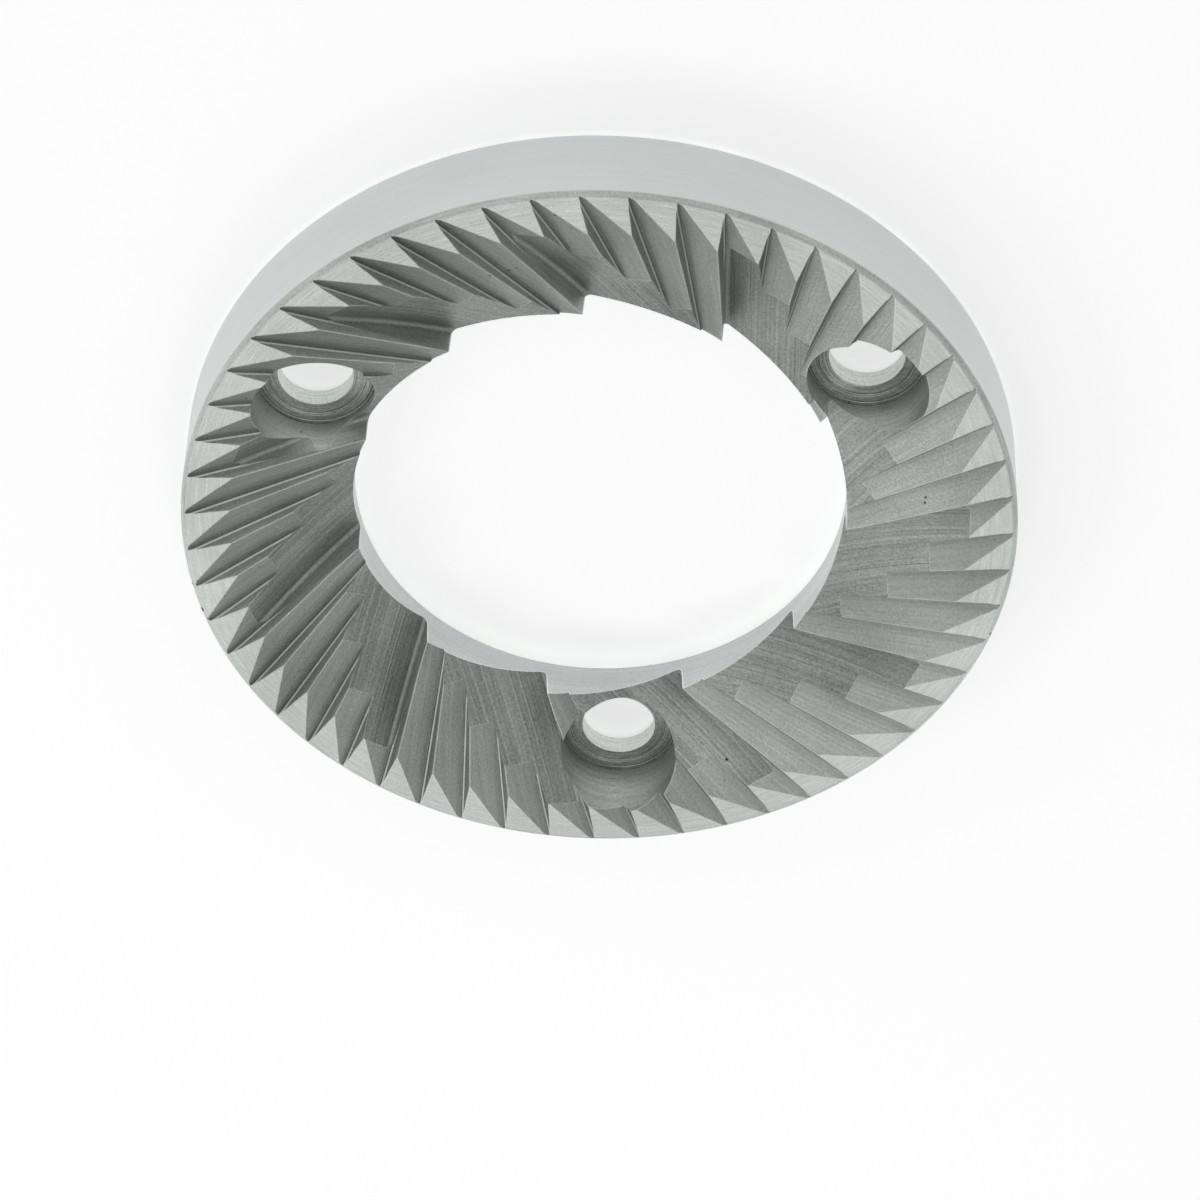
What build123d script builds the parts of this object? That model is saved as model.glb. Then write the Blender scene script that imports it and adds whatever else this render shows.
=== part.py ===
from build123d import *
from math import cos, radians, sin, tan
import os

# Flat coffee grinder burr, millimetres, lying on its back with the teeth up.
# Origin: centre of the back face. +Z: along the axis, out of the teeth.
# +Y passes through the first screw hole.

# ring blank
outer_radius = 32.0
thickness = 7.5
rim_chamfer = 0.4
bore_radius = 19.0
bore_back_chamfer = 1.3
outer_back_chamfer = 0.25

# screw holes
hole_count = 3
hole_circle_radius = 24.2
screw_clearance_radius = 2.9
head_recess_radius = 4.6
head_seat_height = 2.2
seat_undercut_depth = 0.14
seat_undercut_height = 0.32
hole_back_chamfer = 0.5
first_hole_angle = 90.0

# cutting teeth: straight grooves, ground from the bore out to the rim
tooth_group_count = 11
teeth_per_group = 5
first_tooth_angle = 20.4
tooth_start_radius = 31.7
tooth_run_angle = 18.3
tooth_start_depth = 0.11
tooth_floor_slope = 11.7
tooth_flank_slope = 24.3
tooth_wall_lean = 37.6
tooth_root_radius = 0.22

# breaker grooves: one deep groove to a group, milled by a disc cutter along its last tooth
breaker_run_angle = 17.2
breaker_wheel_radius = 43.4
breaker_wheel_setback = 25.05
breaker_wheel_depth = 6.63
breaker_flank_slope = 28.4
breaker_wall_lean = 3.0
breaker_wheel_sweep = 50.0
breaker_wheel_overrun = 8.0

# how far the cutters pass beyond the metal
overrun = 2.0


def ring_blank():
    bore_flare = bore_radius + bore_back_chamfer
    back_radius = outer_radius - outer_back_chamfer
    face_radius = outer_radius - rim_chamfer
    outline = Polyline(
        (bore_flare, 0),
        (back_radius, 0),
        (outer_radius, outer_back_chamfer),
        (outer_radius, thickness - rim_chamfer),
        (face_radius, thickness),
        (bore_radius, thickness),
        (bore_radius, bore_back_chamfer),
        close=True,
    )
    section = make_face(Plane.XZ * outline)
    return revolve(section, Axis.Z)


def groove_profile(flank_slope, wall_lean):
    # gentle flank on one side of the root, steep wall on the other
    height = thickness + overrun
    flank = (height / tan(radians(flank_slope)), height)
    wall = (-height * tan(radians(wall_lean)), height)
    return make_face(Polyline((0, 0), flank, wall, close=True))


def run_directions(run_angle):
    # inward along a groove that starts at the rim on +X, and level across it
    run = radians(run_angle)
    return Vector(-cos(run), -sin(run), 0), Vector(sin(run), -cos(run), 0)


def tooth_cutter():
    # a straight run with a rounded root, square to its own sloping floor
    inward, across = run_directions(tooth_run_angle)
    slide = inward - Vector(0, 0, tan(radians(tooth_floor_slope)))
    start = Vector(tooth_start_radius, 0, thickness - tooth_start_depth) - slide * overrun
    reach = tooth_start_radius * cos(radians(tooth_run_angle)) - bore_radius / 2
    profile = groove_profile(tooth_flank_slope, tooth_wall_lean)
    root = profile.vertices().sort_by(Axis.Y)[0]
    station = Plane(origin=start, x_dir=across, z_dir=slide)
    return extrude(station * fillet(root, tooth_root_radius), amount=slide.length * (reach + overrun))


def breaker_cutter():
    # a sharp profile, turned about the axis of the disc cutter
    inward, across = run_directions(breaker_run_angle)
    lowest = Vector(tooth_start_radius, 0, thickness - breaker_wheel_depth) + inward * breaker_wheel_setback
    hub = Axis(lowest + Vector(0, 0, breaker_wheel_radius), across)
    station = Plane(origin=lowest, x_dir=across, z_dir=inward)
    profile = station * groove_profile(breaker_flank_slope, breaker_wall_lean)
    return revolve(profile.rotate(hub, -breaker_wheel_overrun), hub, breaker_wheel_sweep)


def screw_hole_cutter():
    top = thickness + overrun
    clearance = Cylinder(screw_clearance_radius, top + overrun, align=(Align.CENTER, Align.CENTER, Align.MIN))
    recess = Cylinder(head_recess_radius, top - head_seat_height, align=(Align.CENTER, Align.CENTER, Align.MIN))
    undercut = Cylinder(
        head_recess_radius + seat_undercut_depth,
        seat_undercut_height,
        align=(Align.CENTER, Align.CENTER, Align.MIN),
    )
    flare = Cone(
        screw_clearance_radius + hole_back_chamfer,
        screw_clearance_radius,
        hole_back_chamfer,
        align=(Align.CENTER, Align.CENTER, Align.MIN),
    )
    hole = Pos(0, 0, -overrun) * clearance + Pos(0, 0, head_seat_height) * recess
    return hole + Pos(0, 0, head_seat_height) * undercut + flare


def tooth_cutters():
    count = tooth_group_count * teeth_per_group
    return [Rot(0, 0, first_tooth_angle + index * 360 / count) * tooth_cutter() for index in range(count)]


def breaker_cutters():
    count = tooth_group_count
    return [Rot(0, 0, first_tooth_angle + index * 360 / count) * breaker_cutter() for index in range(count)]


def screw_hole_cutters():
    count = hole_count
    cutter = Pos(hole_circle_radius, 0, 0) * screw_hole_cutter()
    return [Rot(0, 0, first_hole_angle + index * 360 / count) * cutter for index in range(count)]


def grinding_burr():
    body = ring_blank()
    for cutter in tooth_cutters() + breaker_cutters() + screw_hole_cutters():
        body = body - cutter
    return body.solids().sort_by(SortBy.VOLUME)[-1]


os.makedirs("parts", exist_ok=True)
export_step(grinding_burr(), "parts/grinding_burr.step")
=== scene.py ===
import math
import random
import bmesh
import bpy
from mathutils import Matrix, Vector


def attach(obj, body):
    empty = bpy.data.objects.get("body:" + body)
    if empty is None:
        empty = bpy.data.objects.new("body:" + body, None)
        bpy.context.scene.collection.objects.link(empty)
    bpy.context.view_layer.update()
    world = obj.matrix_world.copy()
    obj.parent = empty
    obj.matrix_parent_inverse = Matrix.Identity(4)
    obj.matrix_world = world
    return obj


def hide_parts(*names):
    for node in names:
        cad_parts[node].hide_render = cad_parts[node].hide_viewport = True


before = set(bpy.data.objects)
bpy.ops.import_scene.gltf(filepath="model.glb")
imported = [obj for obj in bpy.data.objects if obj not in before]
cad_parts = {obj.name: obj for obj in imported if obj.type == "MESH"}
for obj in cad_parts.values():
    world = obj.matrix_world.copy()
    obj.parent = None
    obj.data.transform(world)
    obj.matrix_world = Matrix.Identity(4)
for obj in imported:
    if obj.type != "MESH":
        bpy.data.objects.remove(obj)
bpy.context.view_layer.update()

mm = 0.001
micrometre = 0.000001

# ring and grooves in millimetres and degrees
burr = {
    "outerRadius": 32.0, "thickness": 7.5, "rimChamfer": 0.4, "backChamfer": 0.25,
    "boreRadius": 19.0, "boreFlare": 1.3, "ringSteps": 360,
    "teeth": 55, "groups": 11, "firstTooth": 20.4, "startRadius": 31.7,
    "toothRun": 18.3, "toothDepth": 0.11, "toothFloor": 11.7,
    "toothFlank": 24.3, "toothLean": 37.6, "ledgeFoot": (-0.07, 0.19), "ledgeReach": -0.19,
    "breakerRun": 17.2, "wheelRadius": 43.4, "wheelSetback": 25.05, "wheelDepth": 6.63,
    "breakerFlank": 28.4, "breakerLean": 3.0, "breakerRoot": 0.3,
    "wheelStart": -8.0, "wheelEnd": 42.0, "wheelSteps": 26,
    "overrun": 2.0, "edgeAngle": 22.0, "seamAngle": 3.0, "join": 0.00001, "weld": 0.002,
}

# lines that the cutter leaves along the breaker grooves
millLines = {
    "seed": 7, "start": 0.15, "width": 11.0, "closest": 0.10, "widest": 0.26,
    "depth": 0.011, "shallowest": 0.1, "waver": 0.003, "waverAlong": 0.7, "waverAcross": 2.4,
}

screwHole = {
    "count": 3, "first": 90.0, "circle": 24.2, "clearance": 2.9, "recess": 4.6, "seat": 2.2,
    "undercut": 0.14, "undercutHeight": 0.32, "flare": 0.5, "steps": 72,
    "below": 1.0, "seatSeed": 4, "seatRings": 10, "ringDepth": 0.045, "ringDrift": 0.3, "shallowest": 0.2,
}

# finish numbers ride on the faces through the cut
finishOrder = ["outerWall", "rimChamfer", "land", "boreWall", "backFace",
               "toothFlank", "toothRoot", "toothWall", "breakerFlank", "breakerWall",
               "recessWall", "screwSeat", "clearanceWall"]
finishNumber = {name: number for number, name in enumerate(finishOrder)}
# finishes that run into each other within one groove
finishFamily = {name: name for name in finishOrder}
finishFamily.update(toothFlank="tooth", toothRoot="tooth", toothWall="tooth",
                    breakerFlank="breaker", breakerWall="breaker", screwSeat="seat")


def loftMesh(name, sections, stripFinishes, mapOf, closedLoop=False):
    # skins matching outlines; each strip keeps its finish number and a map in millimetres
    shape = bmesh.new()
    finishLayer = shape.faces.layers.int.new("finish")
    mapLayer = shape.loops.layers.uv.new("grain")
    rows = [[shape.verts.new(point) for point in section] for section in sections]
    width = len(rows[0])
    last = len(rows) if closedLoop else len(rows) - 1
    for row in range(last):
        below, above = rows[row], rows[(row + 1) % len(rows)]
        for column in range(width):
            side = (column + 1) % width
            face = shape.faces.new((below[column], below[side], above[side], above[column]))
            face[finishLayer] = finishNumber[stripFinishes[column]]
            corners = ((row, column), (row, column + 1), (row + 1, column + 1), (row + 1, column))
            for loop, corner in zip(face.loops, corners):
                loop[mapLayer].uv = mapOf(*corner)
    if not closedLoop:
        shape.faces.new(rows[0])
        shape.faces.new(rows[-1][::-1])
    bmesh.ops.remove_doubles(shape, verts=shape.verts[:], dist=burr["join"])
    bmesh.ops.recalc_face_normals(shape, faces=shape.faces[:])
    mesh = bpy.data.meshes.new(name)
    shape.to_mesh(mesh)
    shape.free()
    piece = bpy.data.objects.new(name, mesh)
    bpy.context.collection.objects.link(piece)
    return piece


def runningLength(outline):
    lengths = [0.0]
    for first, second in zip(outline, outline[1:] + outline[:1]):
        lengths.append(lengths[-1] + math.dist(first, second))
    return lengths


def lathe(name, outline, stripFinishes, steps):
    sections = []
    for step in range(steps):
        turn = Matrix.Rotation(2 * math.pi * step / steps, 3, "Z")
        sections.append([turn @ Vector((radius, 0, height)) for radius, height in outline])
    lengths = runningLength(outline)
    girth = 2 * math.pi * max(radius for radius, _ in outline)
    return loftMesh(name, sections, stripFinishes,
                    lambda row, column: (girth * row / steps, lengths[column]), closedLoop=True)


def ringBlank():
    outer, bore, top = burr["outerRadius"], burr["boreRadius"], burr["thickness"]
    rim, back, flare = burr["rimChamfer"], burr["backChamfer"], burr["boreFlare"]
    outline = [(bore + flare, 0), (outer - back, 0), (outer, back), (outer, top - rim),
               (outer - rim, top), (bore, top), (bore, flare)]
    stripFinishes = ["backFace", "rimChamfer", "outerWall", "rimChamfer", "land", "boreWall", "rimChamfer"]
    return lathe("ringBlank", outline, stripFinishes, burr["ringSteps"])


def toothOutline():
    # flank, a fine ledge just above the root, and wall, seen along the groove
    height = burr["thickness"] + burr["overrun"]
    lean = math.tan(math.radians(burr["toothLean"]))
    reach = burr["ledgeReach"]
    outline = [(height / math.tan(math.radians(burr["toothFlank"])), height), (0.0, 0.0),
               burr["ledgeFoot"], (reach, -reach / lean), (-height * lean, height)]
    return outline, ["toothFlank", "toothWall", "toothRoot", "toothWall", "toothWall"]


def breakerOutline(rootSteps=5):
    # flank with its milling lines, rounded root and wall, seen along the groove
    height = burr["thickness"] + burr["overrun"]
    flank = Vector((1 / math.tan(math.radians(burr["breakerFlank"])), 1))
    wall = Vector((-math.tan(math.radians(burr["breakerLean"])), 1))
    half = flank.angle(wall) / 2
    middle = (flank.normalized() + wall.normalized()).normalized()
    centre = middle * (burr["breakerRoot"] / math.sin(half))
    reach = burr["breakerRoot"] / math.tan(half)
    along = flank.normalized()
    raised = Vector((-along.y, along.x))
    outline = [flank * height]
    for distance, lift in reversed(millingLines()):
        outline.append(along * (reach + distance) + raised * lift)
    flankStrips = len(outline)
    for step in range(rootSteps + 1):
        turn = -(math.pi - 2 * half) * step / rootSteps
        outline.append(centre + Matrix.Rotation(turn, 2) @ (along * reach - centre))
    outline.append(wall * height)
    stripFinishes = ["breakerFlank"] * flankStrips + ["breakerWall"] * (rootSteps + 2)
    return [tuple(point) for point in outline], stripFinishes


def runDirections(angle):
    turn = math.radians(angle)
    inward = Vector((-math.cos(turn), -math.sin(turn), 0))
    return inward, inward.cross(Vector((0, 0, -1)))


def toothCutter():
    inward, across = runDirections(burr["toothRun"])
    slide = inward - Vector((0, 0, math.tan(math.radians(burr["toothFloor"]))))
    upright = slide.normalized().cross(across)
    if upright.z < 0:
        upright.negate()
    start = Vector((burr["startRadius"], 0, burr["thickness"] - burr["toothDepth"]))
    reach = burr["startRadius"] * math.cos(math.radians(burr["toothRun"])) - burr["boreRadius"] / 2
    outline, stripFinishes = toothOutline()
    stations = (-burr["overrun"], reach)
    sections = [[start + slide * s + across * u + upright * v for u, v in outline] for s in stations]
    lengths = runningLength(outline)
    root = lengths[1]
    return loftMesh("toothCutter", sections, stripFinishes,
                    lambda row, column: (stations[row], lengths[column] - root))


def millingLines():
    draw = random.Random(millLines["seed"])
    lines, distance, sign = [], millLines["start"], 1
    while distance < millLines["width"]:
        lines.append((distance, sign * millLines["depth"] * draw.uniform(millLines["shallowest"], 1.0)))
        distance += draw.uniform(millLines["closest"], millLines["widest"])
        sign = -sign
    return lines


def breakerCutter():
    inward, across = runDirections(burr["breakerRun"])
    lowest = Vector((burr["startRadius"], 0, burr["thickness"] - burr["wheelDepth"]))
    lowest += inward * burr["wheelSetback"]
    hub = lowest + Vector((0, 0, burr["wheelRadius"]))
    outline, stripFinishes = breakerOutline()
    sweep = burr["wheelEnd"] - burr["wheelStart"]
    turns = [math.radians(burr["wheelStart"] + sweep * step / burr["wheelSteps"])
             for step in range(burr["wheelSteps"] + 1)]
    sections = []
    for row, turn in enumerate(turns):
        wheel = Matrix.Rotation(turn, 3, across)
        section = []
        for column, (u, v) in enumerate(outline):
            if 0 < column < stripFinishes.count("breakerFlank"):
                phase = millLines["waverAlong"] * row + millLines["waverAcross"] * column
                v += millLines["waver"] * math.sin(phase)
            section.append(hub + wheel @ (lowest - hub + across * u + Vector((0, 0, v))))
        sections.append(section)
    lengths = runningLength(outline)
    root = lengths[stripFinishes.count("breakerFlank")]
    return loftMesh("breakerCutter", sections, stripFinishes,
                    lambda row, column: (turns[row] * burr["wheelRadius"], lengths[column] - root))


def seatRings():
    # uneven ridges left by the tool, from the clearance hole out to the undercut
    draw = random.Random(screwHole["seatSeed"])
    inner, outer = screwHole["clearance"], screwHole["recess"] + screwHole["undercut"]
    count = 2 * screwHole["seatRings"]
    points = []
    for ring in range(1, count):
        drift = draw.uniform(-screwHole["ringDrift"], screwHole["ringDrift"])
        depth = screwHole["ringDepth"] * draw.uniform(screwHole["shallowest"], 1.0)
        radius = inner + (outer - inner) * (ring + drift) / count
        points.append((radius, screwHole["seat"] - depth * (ring % 2)))
    return points


def screwHoleCutter():
    seat, recess, clearance = screwHole["seat"], screwHole["recess"], screwHole["clearance"]
    undercut, ledge = recess + screwHole["undercut"], seat + screwHole["undercutHeight"]
    top, below, flare = burr["thickness"] + burr["overrun"], screwHole["below"], screwHole["flare"]
    rings = seatRings()
    outline = [(0, -below), (clearance + flare + below, -below), (clearance, flare), (clearance, seat)]
    outline += rings + [(undercut, seat), (undercut, ledge), (recess, ledge), (recess, top), (0, top)]
    stripFinishes = ["clearanceWall"] * 3 + ["screwSeat"] * (len(rings) + 3) + ["recessWall"] * 3
    cutter = lathe("screwHoleCutter", outline, stripFinishes, screwHole["steps"])
    cutter.data.transform(Matrix.Translation((screwHole["circle"], 0, 0)))
    return cutter


def feed(tree, socket, value):
    if isinstance(value, bpy.types.NodeSocket):
        tree.links.new(value, socket)
    else:
        socket.default_value = value


def mathStep(tree, operation, first, second):
    step = tree.nodes.new("ShaderNodeMath")
    step.operation = operation
    feed(tree, step.inputs[0], first)
    feed(tree, step.inputs[1], second)
    return step.outputs[0]


def burrTree(finishMaterials):
    # blank minus rings of cutters, then one finish for each kind of face
    tree = bpy.data.node_groups.new("burrTree", "GeometryNodeTree")
    sockets = [("Geometry", "NodeSocketGeometry"), ("Tooth Cutter", "NodeSocketObject"),
               ("Breaker Cutter", "NodeSocketObject"), ("Hole Cutter", "NodeSocketObject"),
               ("Teeth", "NodeSocketInt"), ("Groups", "NodeSocketInt"), ("Holes", "NodeSocketInt"),
               ("First Tooth", "NodeSocketFloat"), ("First Hole", "NodeSocketFloat")]
    for label, kind in sockets:
        tree.interface.new_socket(label, in_out="INPUT", socket_type=kind)
    tree.interface.new_socket("Geometry", in_out="OUTPUT", socket_type="NodeSocketGeometry")
    node, link = tree.nodes.new, tree.links.new
    source, result = node("NodeGroupInput"), node("NodeGroupOutput")

    def ringOf(cutterName, countName, firstName):
        info, points = node("GeometryNodeObjectInfo"), node("GeometryNodeMeshLine")
        place, index = node("GeometryNodeInstanceOnPoints"), node("GeometryNodeInputIndex")
        angles, turn = node("ShaderNodeCombineXYZ"), node("FunctionNodeEulerToRotation")
        points.inputs["Offset"].default_value = (0, 0, 0)
        link(source.outputs[cutterName], info.inputs["Object"])
        link(source.outputs[countName], points.inputs["Count"])
        step = mathStep(tree, "DIVIDE", 2 * math.pi, source.outputs[countName])
        angle = mathStep(tree, "MULTIPLY", index.outputs[0], step)
        link(mathStep(tree, "ADD", angle, source.outputs[firstName]), angles.inputs["Z"])
        link(angles.outputs[0], turn.inputs[0])
        link(turn.outputs[0], place.inputs["Rotation"])
        link(points.outputs[0], place.inputs["Points"])
        link(info.outputs["Geometry"], place.inputs["Instance"])
        return place.outputs[0]

    cut = node("GeometryNodeMeshBoolean")
    cut.operation, cut.solver = "DIFFERENCE", "MANIFOLD"
    link(source.outputs["Geometry"], cut.inputs[0])
    link(ringOf("Tooth Cutter", "Teeth", "First Tooth"), cut.inputs[1])
    link(ringOf("Breaker Cutter", "Groups", "First Tooth"), cut.inputs[1])
    link(ringOf("Hole Cutter", "Holes", "First Hole"), cut.inputs[1])
    real = node("GeometryNodeRealizeInstances")
    link(cut.outputs[0], real.inputs[0])
    finish = node("GeometryNodeInputNamedAttribute")
    finish.data_type = "INT"
    finish.inputs["Name"].default_value = "finish"
    current = real.outputs[0]
    for number, material in enumerate(finishMaterials):
        same, paint = node("FunctionNodeCompare"), node("GeometryNodeSetMaterial")
        same.data_type, same.operation = "INT", "EQUAL"
        whole = [socket for socket in same.inputs if socket.type == "INT"]
        link(finish.outputs["Attribute"], whole[0])
        whole[1].default_value = number
        paint.inputs["Material"].default_value = material
        link(same.outputs[0], paint.inputs["Selection"])
        link(current, paint.inputs["Geometry"])
        current = paint.outputs[0]
    link(current, result.inputs[0])
    return tree


# tone = share of light sent back, and spread = how far it varies
# lines = per mm along, per mm across, micrometres deep; grain = micrometres deep; pits = amount
# root shade = painted shade low in a groove, where the nearer tooth shades the root: millimetres up from
# the root, and how much darker there
# edge highlight = a painted highlight along corners: turn of the rounded normal where it starts and where
# it is full, and the millimetres above the root from which that shows
groundTint = (0.975, 1.03, 0.985)
turnedTint = (0.965, 1.02, 1.01)
finishes = {
    "outerWall": {"tone": 0.66, "spread": 0.04, "rough": (0.30, 0.34),
                  "lines": (0.02, 2.0, 0.05), "grain": 0.4, "pits": 0.15},
    "rimChamfer": {"tone": 0.74, "spread": 0.20, "rough": (0.50, 0.64), "roundedEdgeHighlight": (0.04, 0.18, 0),
                   "lines": (0.3, 4.0, 2.0), "grain": 4.0, "pits": 0.7},
    "land": {"tone": 0.59, "spread": 0.15, "rough": (0.26, 0.38), "roundedEdgeHighlight": (0.04, 0.18, 0),
             "lines": (0.2, 6.0, 1.0), "grain": 3.2, "pits": 0.35},
    "boreWall": {"tone": 0.58, "spread": 0.12, "rough": (0.30, 0.38), "roundedEdgeHighlight": (0.04, 0.18, 0),
                 "lines": (0.03, 4.0, 0.4), "grain": 2.0, "pits": 0.25},
    "backFace": {"tone": 0.46, "spread": 0.12, "rough": (0.32, 0.44),
                 "lines": (0.05, 6.0, 1.2), "grain": 1.0, "pits": 0.3},
    "toothFlank": {"tone": 0.54, "spread": 0.24, "rough": (0.36, 0.48), "paintedRootShade": (1.2, 0.25),
                   "roundedEdgeHighlight": (0.015, 0.07, 0.25), "lines": (0.15, 5.0, 0.8), "grain": 13.0, "pits": 0.45},
    "toothRoot": {"tone": 0.60, "spread": 0.14, "rough": (0.38, 0.48),
                  "lines": (0.15, 6.0, 0.8), "grain": 1.5, "pits": 0.2},
    "toothWall": {"tone": 0.38, "spread": 0.30, "rough": (0.40, 0.52), "paintedRootShade": (0.9, 0.38),
                  "roundedEdgeHighlight": (0.03, 0.14, 0.6), "lines": (0.15, 6.0, 1.5), "grain": 9.5, "pits": 0.25},
    "breakerFlank": {"tone": 0.47, "spread": 0.42, "rough": (0.44, 0.58), "paintedRootShade": (2.5, 0.30),
                     "lines": (0.02, 6.0, 8.0), "grain": 8.0, "pits": 0.45},
    "breakerWall": {"tone": 0.54, "spread": 0.30, "rough": (0.42, 0.56), "paintedRootShade": (0.8, 0.30),
                    "roundedEdgeHighlight": (0.10, 0.40, 0.6), "lines": (0.02, 8.0, 5.0), "grain": 10.0, "pits": 0.4},
    "recessWall": {"tone": 0.62, "spread": 0.26, "rough": (0.38, 0.50), "roundedEdgeHighlight": (0.04, 0.18, 0),
                   "lines": (0.05, 4.0, 3.0), "grain": 9.0, "pits": 0.45},
    "screwSeat": {"tone": 0.44, "spread": 0.45, "rough": (0.38, 0.55),
                  "lines": (0.2, 7.0, 6.0), "grain": 10.0, "pits": 0.9},
    "clearanceWall": {"tone": 0.70, "spread": 0.24, "rough": (0.34, 0.44),
                      "lines": (0.08, 5.0, 3.0), "grain": 6.0, "pits": 0.3},
}
turnedFinishes = ("outerWall", "boreWall", "backFace")
roundedFinishes = ("land", "toothFlank", "toothRoot", "toothWall", "breakerWall", "recessWall")

# noise is given as scale and detail, a range of it as where it starts and where it is full
lineMarks = {"drift": (23.0, 17.0, 0.0), "lines": (1.0, 2.0), "fine": (2.7, 2.0), "fineDepth": 0.4}
surface = {
    "range": (0.3, 0.7), "mixed": (0.5, 2.5), "grain": (5200.0, 2.0), "cloud": (110.0, 2.0),
    "pitScale": 900.0, "pitCloud": (0.50, 0.78), "pitReach": 0.42, "pitEdge": 0.08,
    "pitDepth": 12.0, "pitColour": (0.05, 0.052, 0.05, 1),
}
# how uneven the edge of the painted root shade is, and how dark it gets
paintedShadeLevels = {"uneven": 0.15, "tone": 0.2}
# radius that rounds the normal at corners, and the tone of the painted highlight along them
edgeRoundingAndHighlight = {"reach": 0.13, "tone": 1.0, "samples": 3, "cloud": (0.1, 0.6), "least": 0.7, "fade": 0.1}


def newGroup(name, inputs, outputs):
    group = bpy.data.node_groups.new(name, "ShaderNodeTree")
    for way, sockets in (("INPUT", inputs), ("OUTPUT", outputs)):
        for label, kind in sockets.items():
            group.interface.new_socket(label, in_out=way, socket_type="NodeSocket" + kind)
    return group, group.nodes.new("NodeGroupInput").outputs, group.nodes.new("NodeGroupOutput").inputs


def spreadStep(tree, value, low, high, lowest=0.0, highest=1.0):
    step = tree.nodes.new("ShaderNodeMapRange")
    feed(tree, step.inputs["Value"], value)
    feed(tree, step.inputs["From Min"], low)
    feed(tree, step.inputs["From Max"], high)
    feed(tree, step.inputs["To Min"], lowest)
    feed(tree, step.inputs["To Max"], highest)
    return step.outputs[0]


def noiseStep(tree, vector, scale, detail):
    noise = tree.nodes.new("ShaderNodeTexNoise")
    noise.inputs["Scale"].default_value = scale
    noise.inputs["Detail"].default_value = detail
    tree.links.new(vector, noise.inputs["Vector"])
    return noise.outputs[0]


def toolLinesGroup():
    # lines that run along the map, with a slow drift so that no two grooves match
    group, source, result = newGroup(
        "toolLines", {"Map": "Vector", "Position": "Vector", "Along": "Float", "Across": "Float"},
        {"Lines": "Float", "Fine": "Float"})
    parts, place = group.nodes.new("ShaderNodeSeparateXYZ"), group.nodes.new("ShaderNodeCombineXYZ")
    drift = group.nodes.new("ShaderNodeVectorMath")
    drift.operation = "DOT_PRODUCT"
    drift.inputs[1].default_value = lineMarks["drift"]
    feed(group, parts.inputs[0], source["Map"])
    feed(group, drift.inputs[0], source["Position"])
    for axis, label in (("X", "Along"), ("Y", "Across")):
        feed(group, place.inputs[axis], mathStep(group, "MULTIPLY", parts.outputs[axis], source[label]))
    feed(group, place.inputs["Z"], drift.outputs["Value"])
    for label in ("Lines", "Fine"):
        lines = noiseStep(group, place.outputs[0], *lineMarks[label.lower()])
        feed(group, result[label], spreadStep(group, lines, *surface["range"]))
    return group


def surfaceMarksGroup():
    # fine grain, cloudy patches, and small dark pits in loose clusters
    group, source, result = newGroup(
        "surfaceMarks", {"Position": "Vector", "Amount": "Float"},
        {"Grain": "Float", "Cloud": "Float", "Pits": "Float"})
    grain = noiseStep(group, source["Position"], *surface["grain"])
    cloud = noiseStep(group, source["Position"], *surface["cloud"])
    cells = group.nodes.new("ShaderNodeTexVoronoi")
    cells.inputs["Scale"].default_value = surface["pitScale"]
    feed(group, cells.inputs["Vector"], source["Position"])
    reach = spreadStep(group, cloud, *surface["pitCloud"], 0.0, surface["pitReach"])
    reach = mathStep(group, "MULTIPLY", reach, source["Amount"])
    inside = mathStep(group, "SUBTRACT", reach, cells.outputs["Distance"])
    feed(group, result["Grain"], spreadStep(group, grain, *surface["range"]))
    feed(group, result["Cloud"], spreadStep(group, cloud, *surface["range"]))
    feed(group, result["Pits"], spreadStep(group, inside, 0.0, surface["pitEdge"]))
    return group


def paintedRootShadeGroup():
    # painted shade low in a groove, with a cloudy edge
    group, source, result = newGroup(
        "paintedRootShade", {"Rise": "Float", "Cloud": "Float", "Reach": "Float", "Share": "Float"},
        {"PaintedShade": "Float"})
    uneven = spreadStep(group, source["Cloud"], 0.0, 1.0, -paintedShadeLevels["uneven"], paintedShadeLevels["uneven"])
    low = mathStep(group, "ADD", source["Rise"], uneven)
    feed(group, result["PaintedShade"], spreadStep(group, low, 0.0, source["Reach"], source["Share"], 0.0))
    return group


def edgeRoundAndHighlightGroup():
    # rounds the normal near a corner, and masks where it turns away from the face for a painted highlight
    group, source, result = newGroup(
        "edgeRoundAndHighlight",
        {"Radius": "Float", "Start": "Float", "Full": "Float",
         "Above": "Float", "Rise": "Float", "Cloud": "Float"},
        {"Highlight": "Float", "Rounded": "Vector"})
    rounded, normal = group.nodes.new("ShaderNodeBevel"), group.nodes.new("ShaderNodeNewGeometry")
    turned = group.nodes.new("ShaderNodeVectorMath")
    rounded.samples = edgeRoundingAndHighlight["samples"]
    turned.operation = "DISTANCE"
    feed(group, rounded.inputs["Radius"], source["Radius"])
    feed(group, turned.inputs[0], rounded.outputs[0])
    feed(group, turned.inputs[1], normal.outputs["Normal"])
    highlightMask = spreadStep(group, turned.outputs["Value"], source["Start"], source["Full"])
    patchy = spreadStep(group, source["Cloud"], *edgeRoundingAndHighlight["cloud"], edgeRoundingAndHighlight["least"], 1.0)
    highlightMask = mathStep(group, "MULTIPLY", highlightMask, patchy)
    below = mathStep(group, "SUBTRACT", source["Above"], edgeRoundingAndHighlight["fade"])
    clear = spreadStep(group, source["Rise"], below, source["Above"])
    feed(group, result["Highlight"], mathStep(group, "MULTIPLY", highlightMask, clear))
    feed(group, result["Rounded"], rounded.outputs[0])
    return group


toolLines, surfaceMarks = toolLinesGroup(), surfaceMarksGroup()
paintedRootShade, edgeRoundAndHighlight = paintedRootShadeGroup(), edgeRoundAndHighlightGroup()


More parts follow.
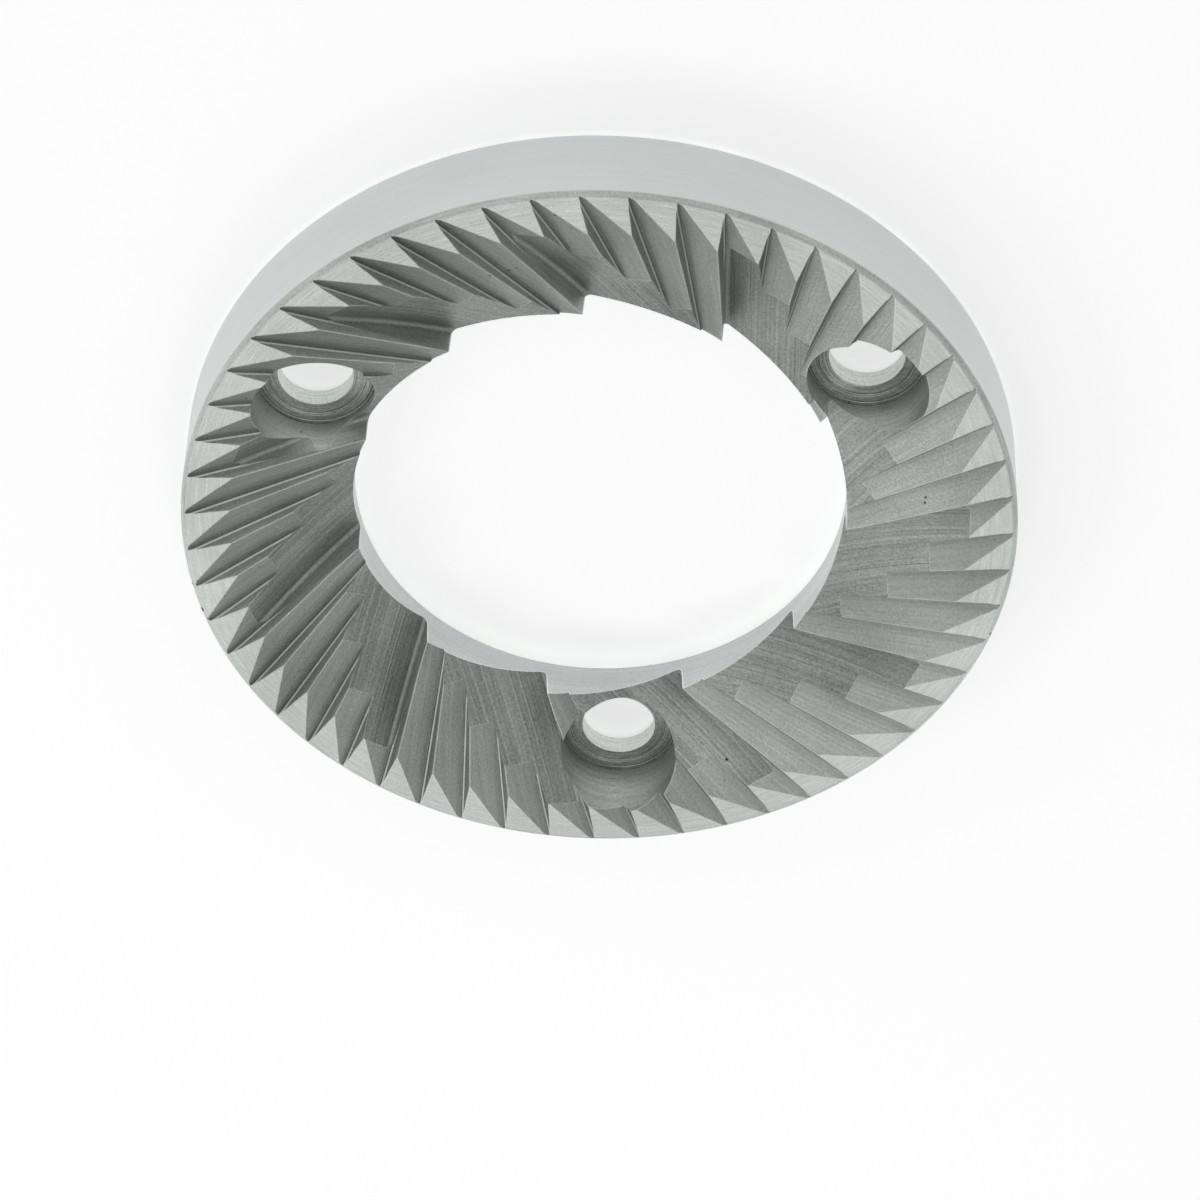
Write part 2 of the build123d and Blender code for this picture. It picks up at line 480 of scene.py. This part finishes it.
def placeGroup(tree, group, **values):
    step = tree.nodes.new("ShaderNodeGroup")
    step.node_tree = group
    for label, value in values.items():
        feed(tree, step.inputs[label], value)
    return step.outputs


def blend(tree, below, above, factor):
    mix = tree.nodes.new("ShaderNodeMix")
    mix.data_type = "RGBA"
    feed(tree, mix.inputs[6], below)
    feed(tree, mix.inputs[7], above)
    feed(tree, mix.inputs["Factor"], factor)
    return mix.outputs[2]


def steelFinish(name):
    look = finishes[name]
    material = bpy.data.materials.new("steel_" + name)
    material.use_nodes = True
    tree = material.node_tree
    shader = tree.nodes["Principled BSDF"]
    shader.inputs["Metallic"].default_value = 1.0
    flat, place = tree.nodes.new("ShaderNodeUVMap"), tree.nodes.new("ShaderNodeTexCoord")
    flat.uv_map = "grain"
    along, across, lineDepth = look["lines"]
    lines = placeGroup(tree, toolLines, Map=flat.outputs["UV"], Position=place.outputs["Object"],
                       Along=along, Across=across)
    marks = placeGroup(tree, surfaceMarks, Position=place.outputs["Object"], Amount=look["pits"])
    height = tree.nodes.new("ShaderNodeSeparateXYZ")
    feed(tree, height.inputs[0], flat.outputs["UV"])
    rise = mathStep(tree, "ABSOLUTE", height.outputs["Y"], 0.0)
    tint = turnedTint if name in turnedFinishes else groundTint

    def shade(tone):
        return (*(tone * part for part in tint), 1)

    # tone follows the lines, the grain and the cloudy patches
    tone, spread = look["tone"], look["spread"]
    mixed = mathStep(tree, "ADD", lines["Lines"], marks["Grain"])
    mixed = mathStep(tree, "ADD", mixed, marks["Cloud"])
    colour = blend(tree, shade(tone * (1 - spread)), shade(tone * (1 + spread)),
                   spreadStep(tree, mixed, *surface["mixed"]))
    # painted shade: colour darkened towards the root of a groove
    if "paintedRootShade" in look:
        reach, share = look["paintedRootShade"]
        low = placeGroup(tree, paintedRootShade, Rise=rise, Cloud=marks["Cloud"], Reach=reach, Share=share)
        colour = blend(tree, colour, shade(tone * paintedShadeLevels["tone"]), low["PaintedShade"])
    bump = tree.nodes.new("ShaderNodeBump")
    if "roundedEdgeHighlight" in look or name in roundedFinishes:
        start, full, above = look.get("roundedEdgeHighlight", (0.0, 1.0, 0.0))
        roundedEdgeHighlight = placeGroup(tree, edgeRoundAndHighlight, Radius=edgeRoundingAndHighlight["reach"] * mm, Start=start, Full=full,
                          Above=above, Rise=rise, Cloud=marks["Cloud"])
        # painted highlight: colour lightened along rounded corners
        if "roundedEdgeHighlight" in look:
            colour = blend(tree, colour, shade(edgeRoundingAndHighlight["tone"]), roundedEdgeHighlight["Highlight"])
        if name in roundedFinishes:
            feed(tree, bump.inputs["Normal"], roundedEdgeHighlight["Rounded"])
    feed(tree, shader.inputs["Base Color"], blend(tree, colour, surface["pitColour"], marks["Pits"]))
    feed(tree, shader.inputs["Roughness"], spreadStep(tree, lines["Fine"], 0.0, 1.0, *look["rough"]))
    # relief in micrometres
    relief = mathStep(tree, "MULTIPLY", lines["Lines"], lineDepth)
    for mark, depth in ((lines["Fine"], lineMarks["fineDepth"] * lineDepth),
                        (marks["Grain"], look["grain"]), (marks["Pits"], -surface["pitDepth"])):
        relief = mathStep(tree, "ADD", relief, mathStep(tree, "MULTIPLY", mark, depth))
    bump.inputs["Strength"].default_value = 1.0
    bump.inputs["Distance"].default_value = micrometre
    feed(tree, bump.inputs["Height"], relief)
    feed(tree, shader.inputs["Normal"], bump.outputs[0])
    return material


print("finishes")
steel = {name: steelFinish(name) for name in finishes}


def plainMesh(piece):
    graph = bpy.context.evaluated_depsgraph_get()
    return bpy.data.meshes.new_from_object(piece.evaluated_get(graph))


def cutMesh():
    blank = ringBlank()
    cutters = [toothCutter(), breakerCutter(), screwHoleCutter()]
    tree = burrTree([steel[name] for name in finishOrder])
    cut = blank.modifiers.new("cut", "NODES")
    cut.node_group = tree
    values = {
        "Tooth Cutter": cutters[0], "Breaker Cutter": cutters[1], "Hole Cutter": cutters[2],
        "Teeth": burr["teeth"], "Groups": burr["groups"], "Holes": screwHole["count"],
        "First Tooth": math.radians(burr["firstTooth"]), "First Hole": math.radians(screwHole["first"]),
    }
    for item in tree.interface.items_tree:
        if item.in_out == "INPUT" and item.name in values:
            cut[item.identifier] = values[item.name]
    mesh = plainMesh(blank)
    for helper in [blank] + cutters:
        bpy.data.objects.remove(helper)
    return mesh


def markEdges(shape):
    # milling lines and seams between finishes crease at small angles, turned faces stay round
    finishLayer = shape.faces.layers.int["finish"]
    seam, corner = math.radians(burr["seamAngle"]), math.radians(burr["edgeAngle"])
    for edge in shape.edges:
        families = {finishFamily[finishOrder[face[finishLayer]]] for face in edge.link_faces}
        limit = seam if len(families) > 1 or families == {"breaker"} else corner
        edge.smooth = abs(edge.calc_face_angle_signed(0.0)) < limit


def buildBurr():
    mesh = cutMesh()
    shape = bmesh.new()
    shape.from_mesh(mesh)
    bmesh.ops.remove_doubles(shape, verts=shape.verts[:], dist=burr["weld"])
    finishLayer = shape.faces.layers.int["finish"]
    for face in shape.faces:
        face.smooth = True
        face.material_index = face[finishLayer]
    markEdges(shape)
    bmesh.ops.scale(shape, vec=(mm, mm, mm), verts=shape.verts[:])
    mesh.materials.clear()
    for name in finishOrder:
        mesh.materials.append(steel[name])
    shape.to_mesh(mesh)
    shape.free()
    mesh.name = "burrRing"
    piece = bpy.data.objects.new("burrRing", mesh)
    bpy.context.collection.objects.link(piece)
    return piece


print("burr")
ring = buildBurr()
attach(ring, "root")
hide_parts("grinding_burr")
print("faces", len(ring.data.polygons))

stage = {
    "floorSize": 3.0, "floorDrop": 0.00002, "floorColour": (0.93, 0.93, 0.93), "floorRough": 0.9,
    "floorSheen": 0.1, "floorGlow": 0.46,
}

# plain pale walls of the studio, as seen in the picture: the way each lies, and its radiance
walls = {
    "left": ((1, 0, 0.2), 0.35), "right": ((-1, 0, 0.2), 0.30),
    "front": ((0, -1, 0.2), 0.43), "back": ((0, 1, 0.2), 0.28),
}


def buildFloor():
    mesh = bpy.data.meshes.new("floor")
    half = stage["floorSize"] / 2
    corners = [(-half, -half, 0), (half, -half, 0), (half, half, 0), (-half, half, 0)]
    mesh.from_pydata(corners, [], [(0, 1, 2, 3)])
    floor = bpy.data.objects.new("floor", mesh)
    bpy.context.collection.objects.link(floor)
    floor.location.z = -stage["floorDrop"]
    material = bpy.data.materials.new("paleFloor")
    material.use_nodes = True
    tree = material.node_tree
    node, link = tree.nodes.new, tree.links.new
    shader = tree.nodes["Principled BSDF"]
    shader.inputs["Base Color"].default_value = (*stage["floorColour"], 1)
    shader.inputs["Roughness"].default_value = stage["floorRough"]
    shader.inputs["Specular IOR Level"].default_value = stage["floorSheen"]
    # seen directly or in the steel the floor reads as white, and it still takes the shadow
    rays, glow, both = node("ShaderNodeLightPath"), node("ShaderNodeEmission"), node("ShaderNodeAddShader")
    seen = mathStep(tree, "MAXIMUM", rays.outputs["Is Glossy Ray"], rays.outputs["Is Transmission Ray"])
    seen = mathStep(tree, "MAXIMUM", seen, rays.outputs["Is Camera Ray"])
    link(mathStep(tree, "MULTIPLY", seen, stage["floorGlow"]), glow.inputs["Strength"])
    link(shader.outputs[0], both.inputs[0])
    link(glow.outputs[0], both.inputs[1])
    link(both.outputs[0], tree.nodes["Material Output"].inputs["Surface"])
    mesh.materials.append(material)


def buildWorld():
    world = bpy.data.worlds.new("studio")
    bpy.context.scene.world = world
    world.use_nodes = True
    tree = world.node_tree
    place = tree.nodes.new("ShaderNodeTexCoord")
    background = tree.nodes["Background"]
    background.inputs["Color"].default_value = (1, 1, 1, 1)
    total = None
    for way, radiance in walls.values():
        facing = tree.nodes.new("ShaderNodeVectorMath")
        facing.operation = "DOT_PRODUCT"
        facing.inputs[1].default_value = Vector(way).normalized()
        tree.links.new(place.outputs["Generated"], facing.inputs[0])
        share = spreadStep(tree, facing.outputs["Value"], 0.0, 1.0, 0.0, radiance)
        total = mathStep(tree, "ADD", total, share) if total else share
    tree.links.new(total, background.inputs["Strength"])


# soft boxes: azimuth from +X towards +Y and height in degrees, metres, radiance
softBoxes = {
    "overhead": {"azimuth": 270, "height": 82, "distance": 0.65, "size": (0.50, 0.50), "radiance": 0.53},
    "back": {"azimuth": 90, "height": 52, "distance": 0.65, "size": (0.50, 0.22), "radiance": 0.96},
    "left": {"azimuth": 24, "height": 34, "distance": 0.65, "size": (0.36, 0.30), "radiance": 0.94},
}


def buildSoftBox(name):
    box = softBoxes[name]
    azimuth, height = math.radians(box["azimuth"]), math.radians(box["height"])
    level = math.cos(height)
    toward = Vector((math.cos(azimuth) * level, math.sin(azimuth) * level, math.sin(height)))
    lamp = bpy.data.lights.new(name, "AREA")
    lamp.shape = "RECTANGLE"
    lamp.size, lamp.size_y = box["size"]
    lamp.energy = box["radiance"] * math.pi * lamp.size * lamp.size_y
    holder = bpy.data.objects.new(name, lamp)
    bpy.context.collection.objects.link(holder)
    holder.location = toward * box["distance"]
    holder.rotation_euler = toward.to_track_quat("Z", "Y").to_euler()


# millimetres and degrees
view = {
    "place": (-25.147, -280.204, 350.098), "turn": (-40.0382, 1.3342, 176.5162),
    "lens": 173.93, "sensor": 36.0, "nearest": 10.0,
}


def buildCamera():
    data = bpy.data.cameras.new("camera")
    data.sensor_width = view["sensor"]
    data.lens = view["lens"]
    data.clip_start = view["nearest"] * mm
    camera = bpy.data.objects.new("camera", data)
    bpy.context.collection.objects.link(camera)
    camera.location = [value * mm for value in view["place"]]
    camera.rotation_euler = [math.radians(value) for value in view["turn"]]
    bpy.context.scene.camera = camera


print("stage")
buildFloor()
buildWorld()
for name in softBoxes:
    buildSoftBox(name)
buildCamera()
bpy.context.scene.view_settings.view_transform = "Standard"
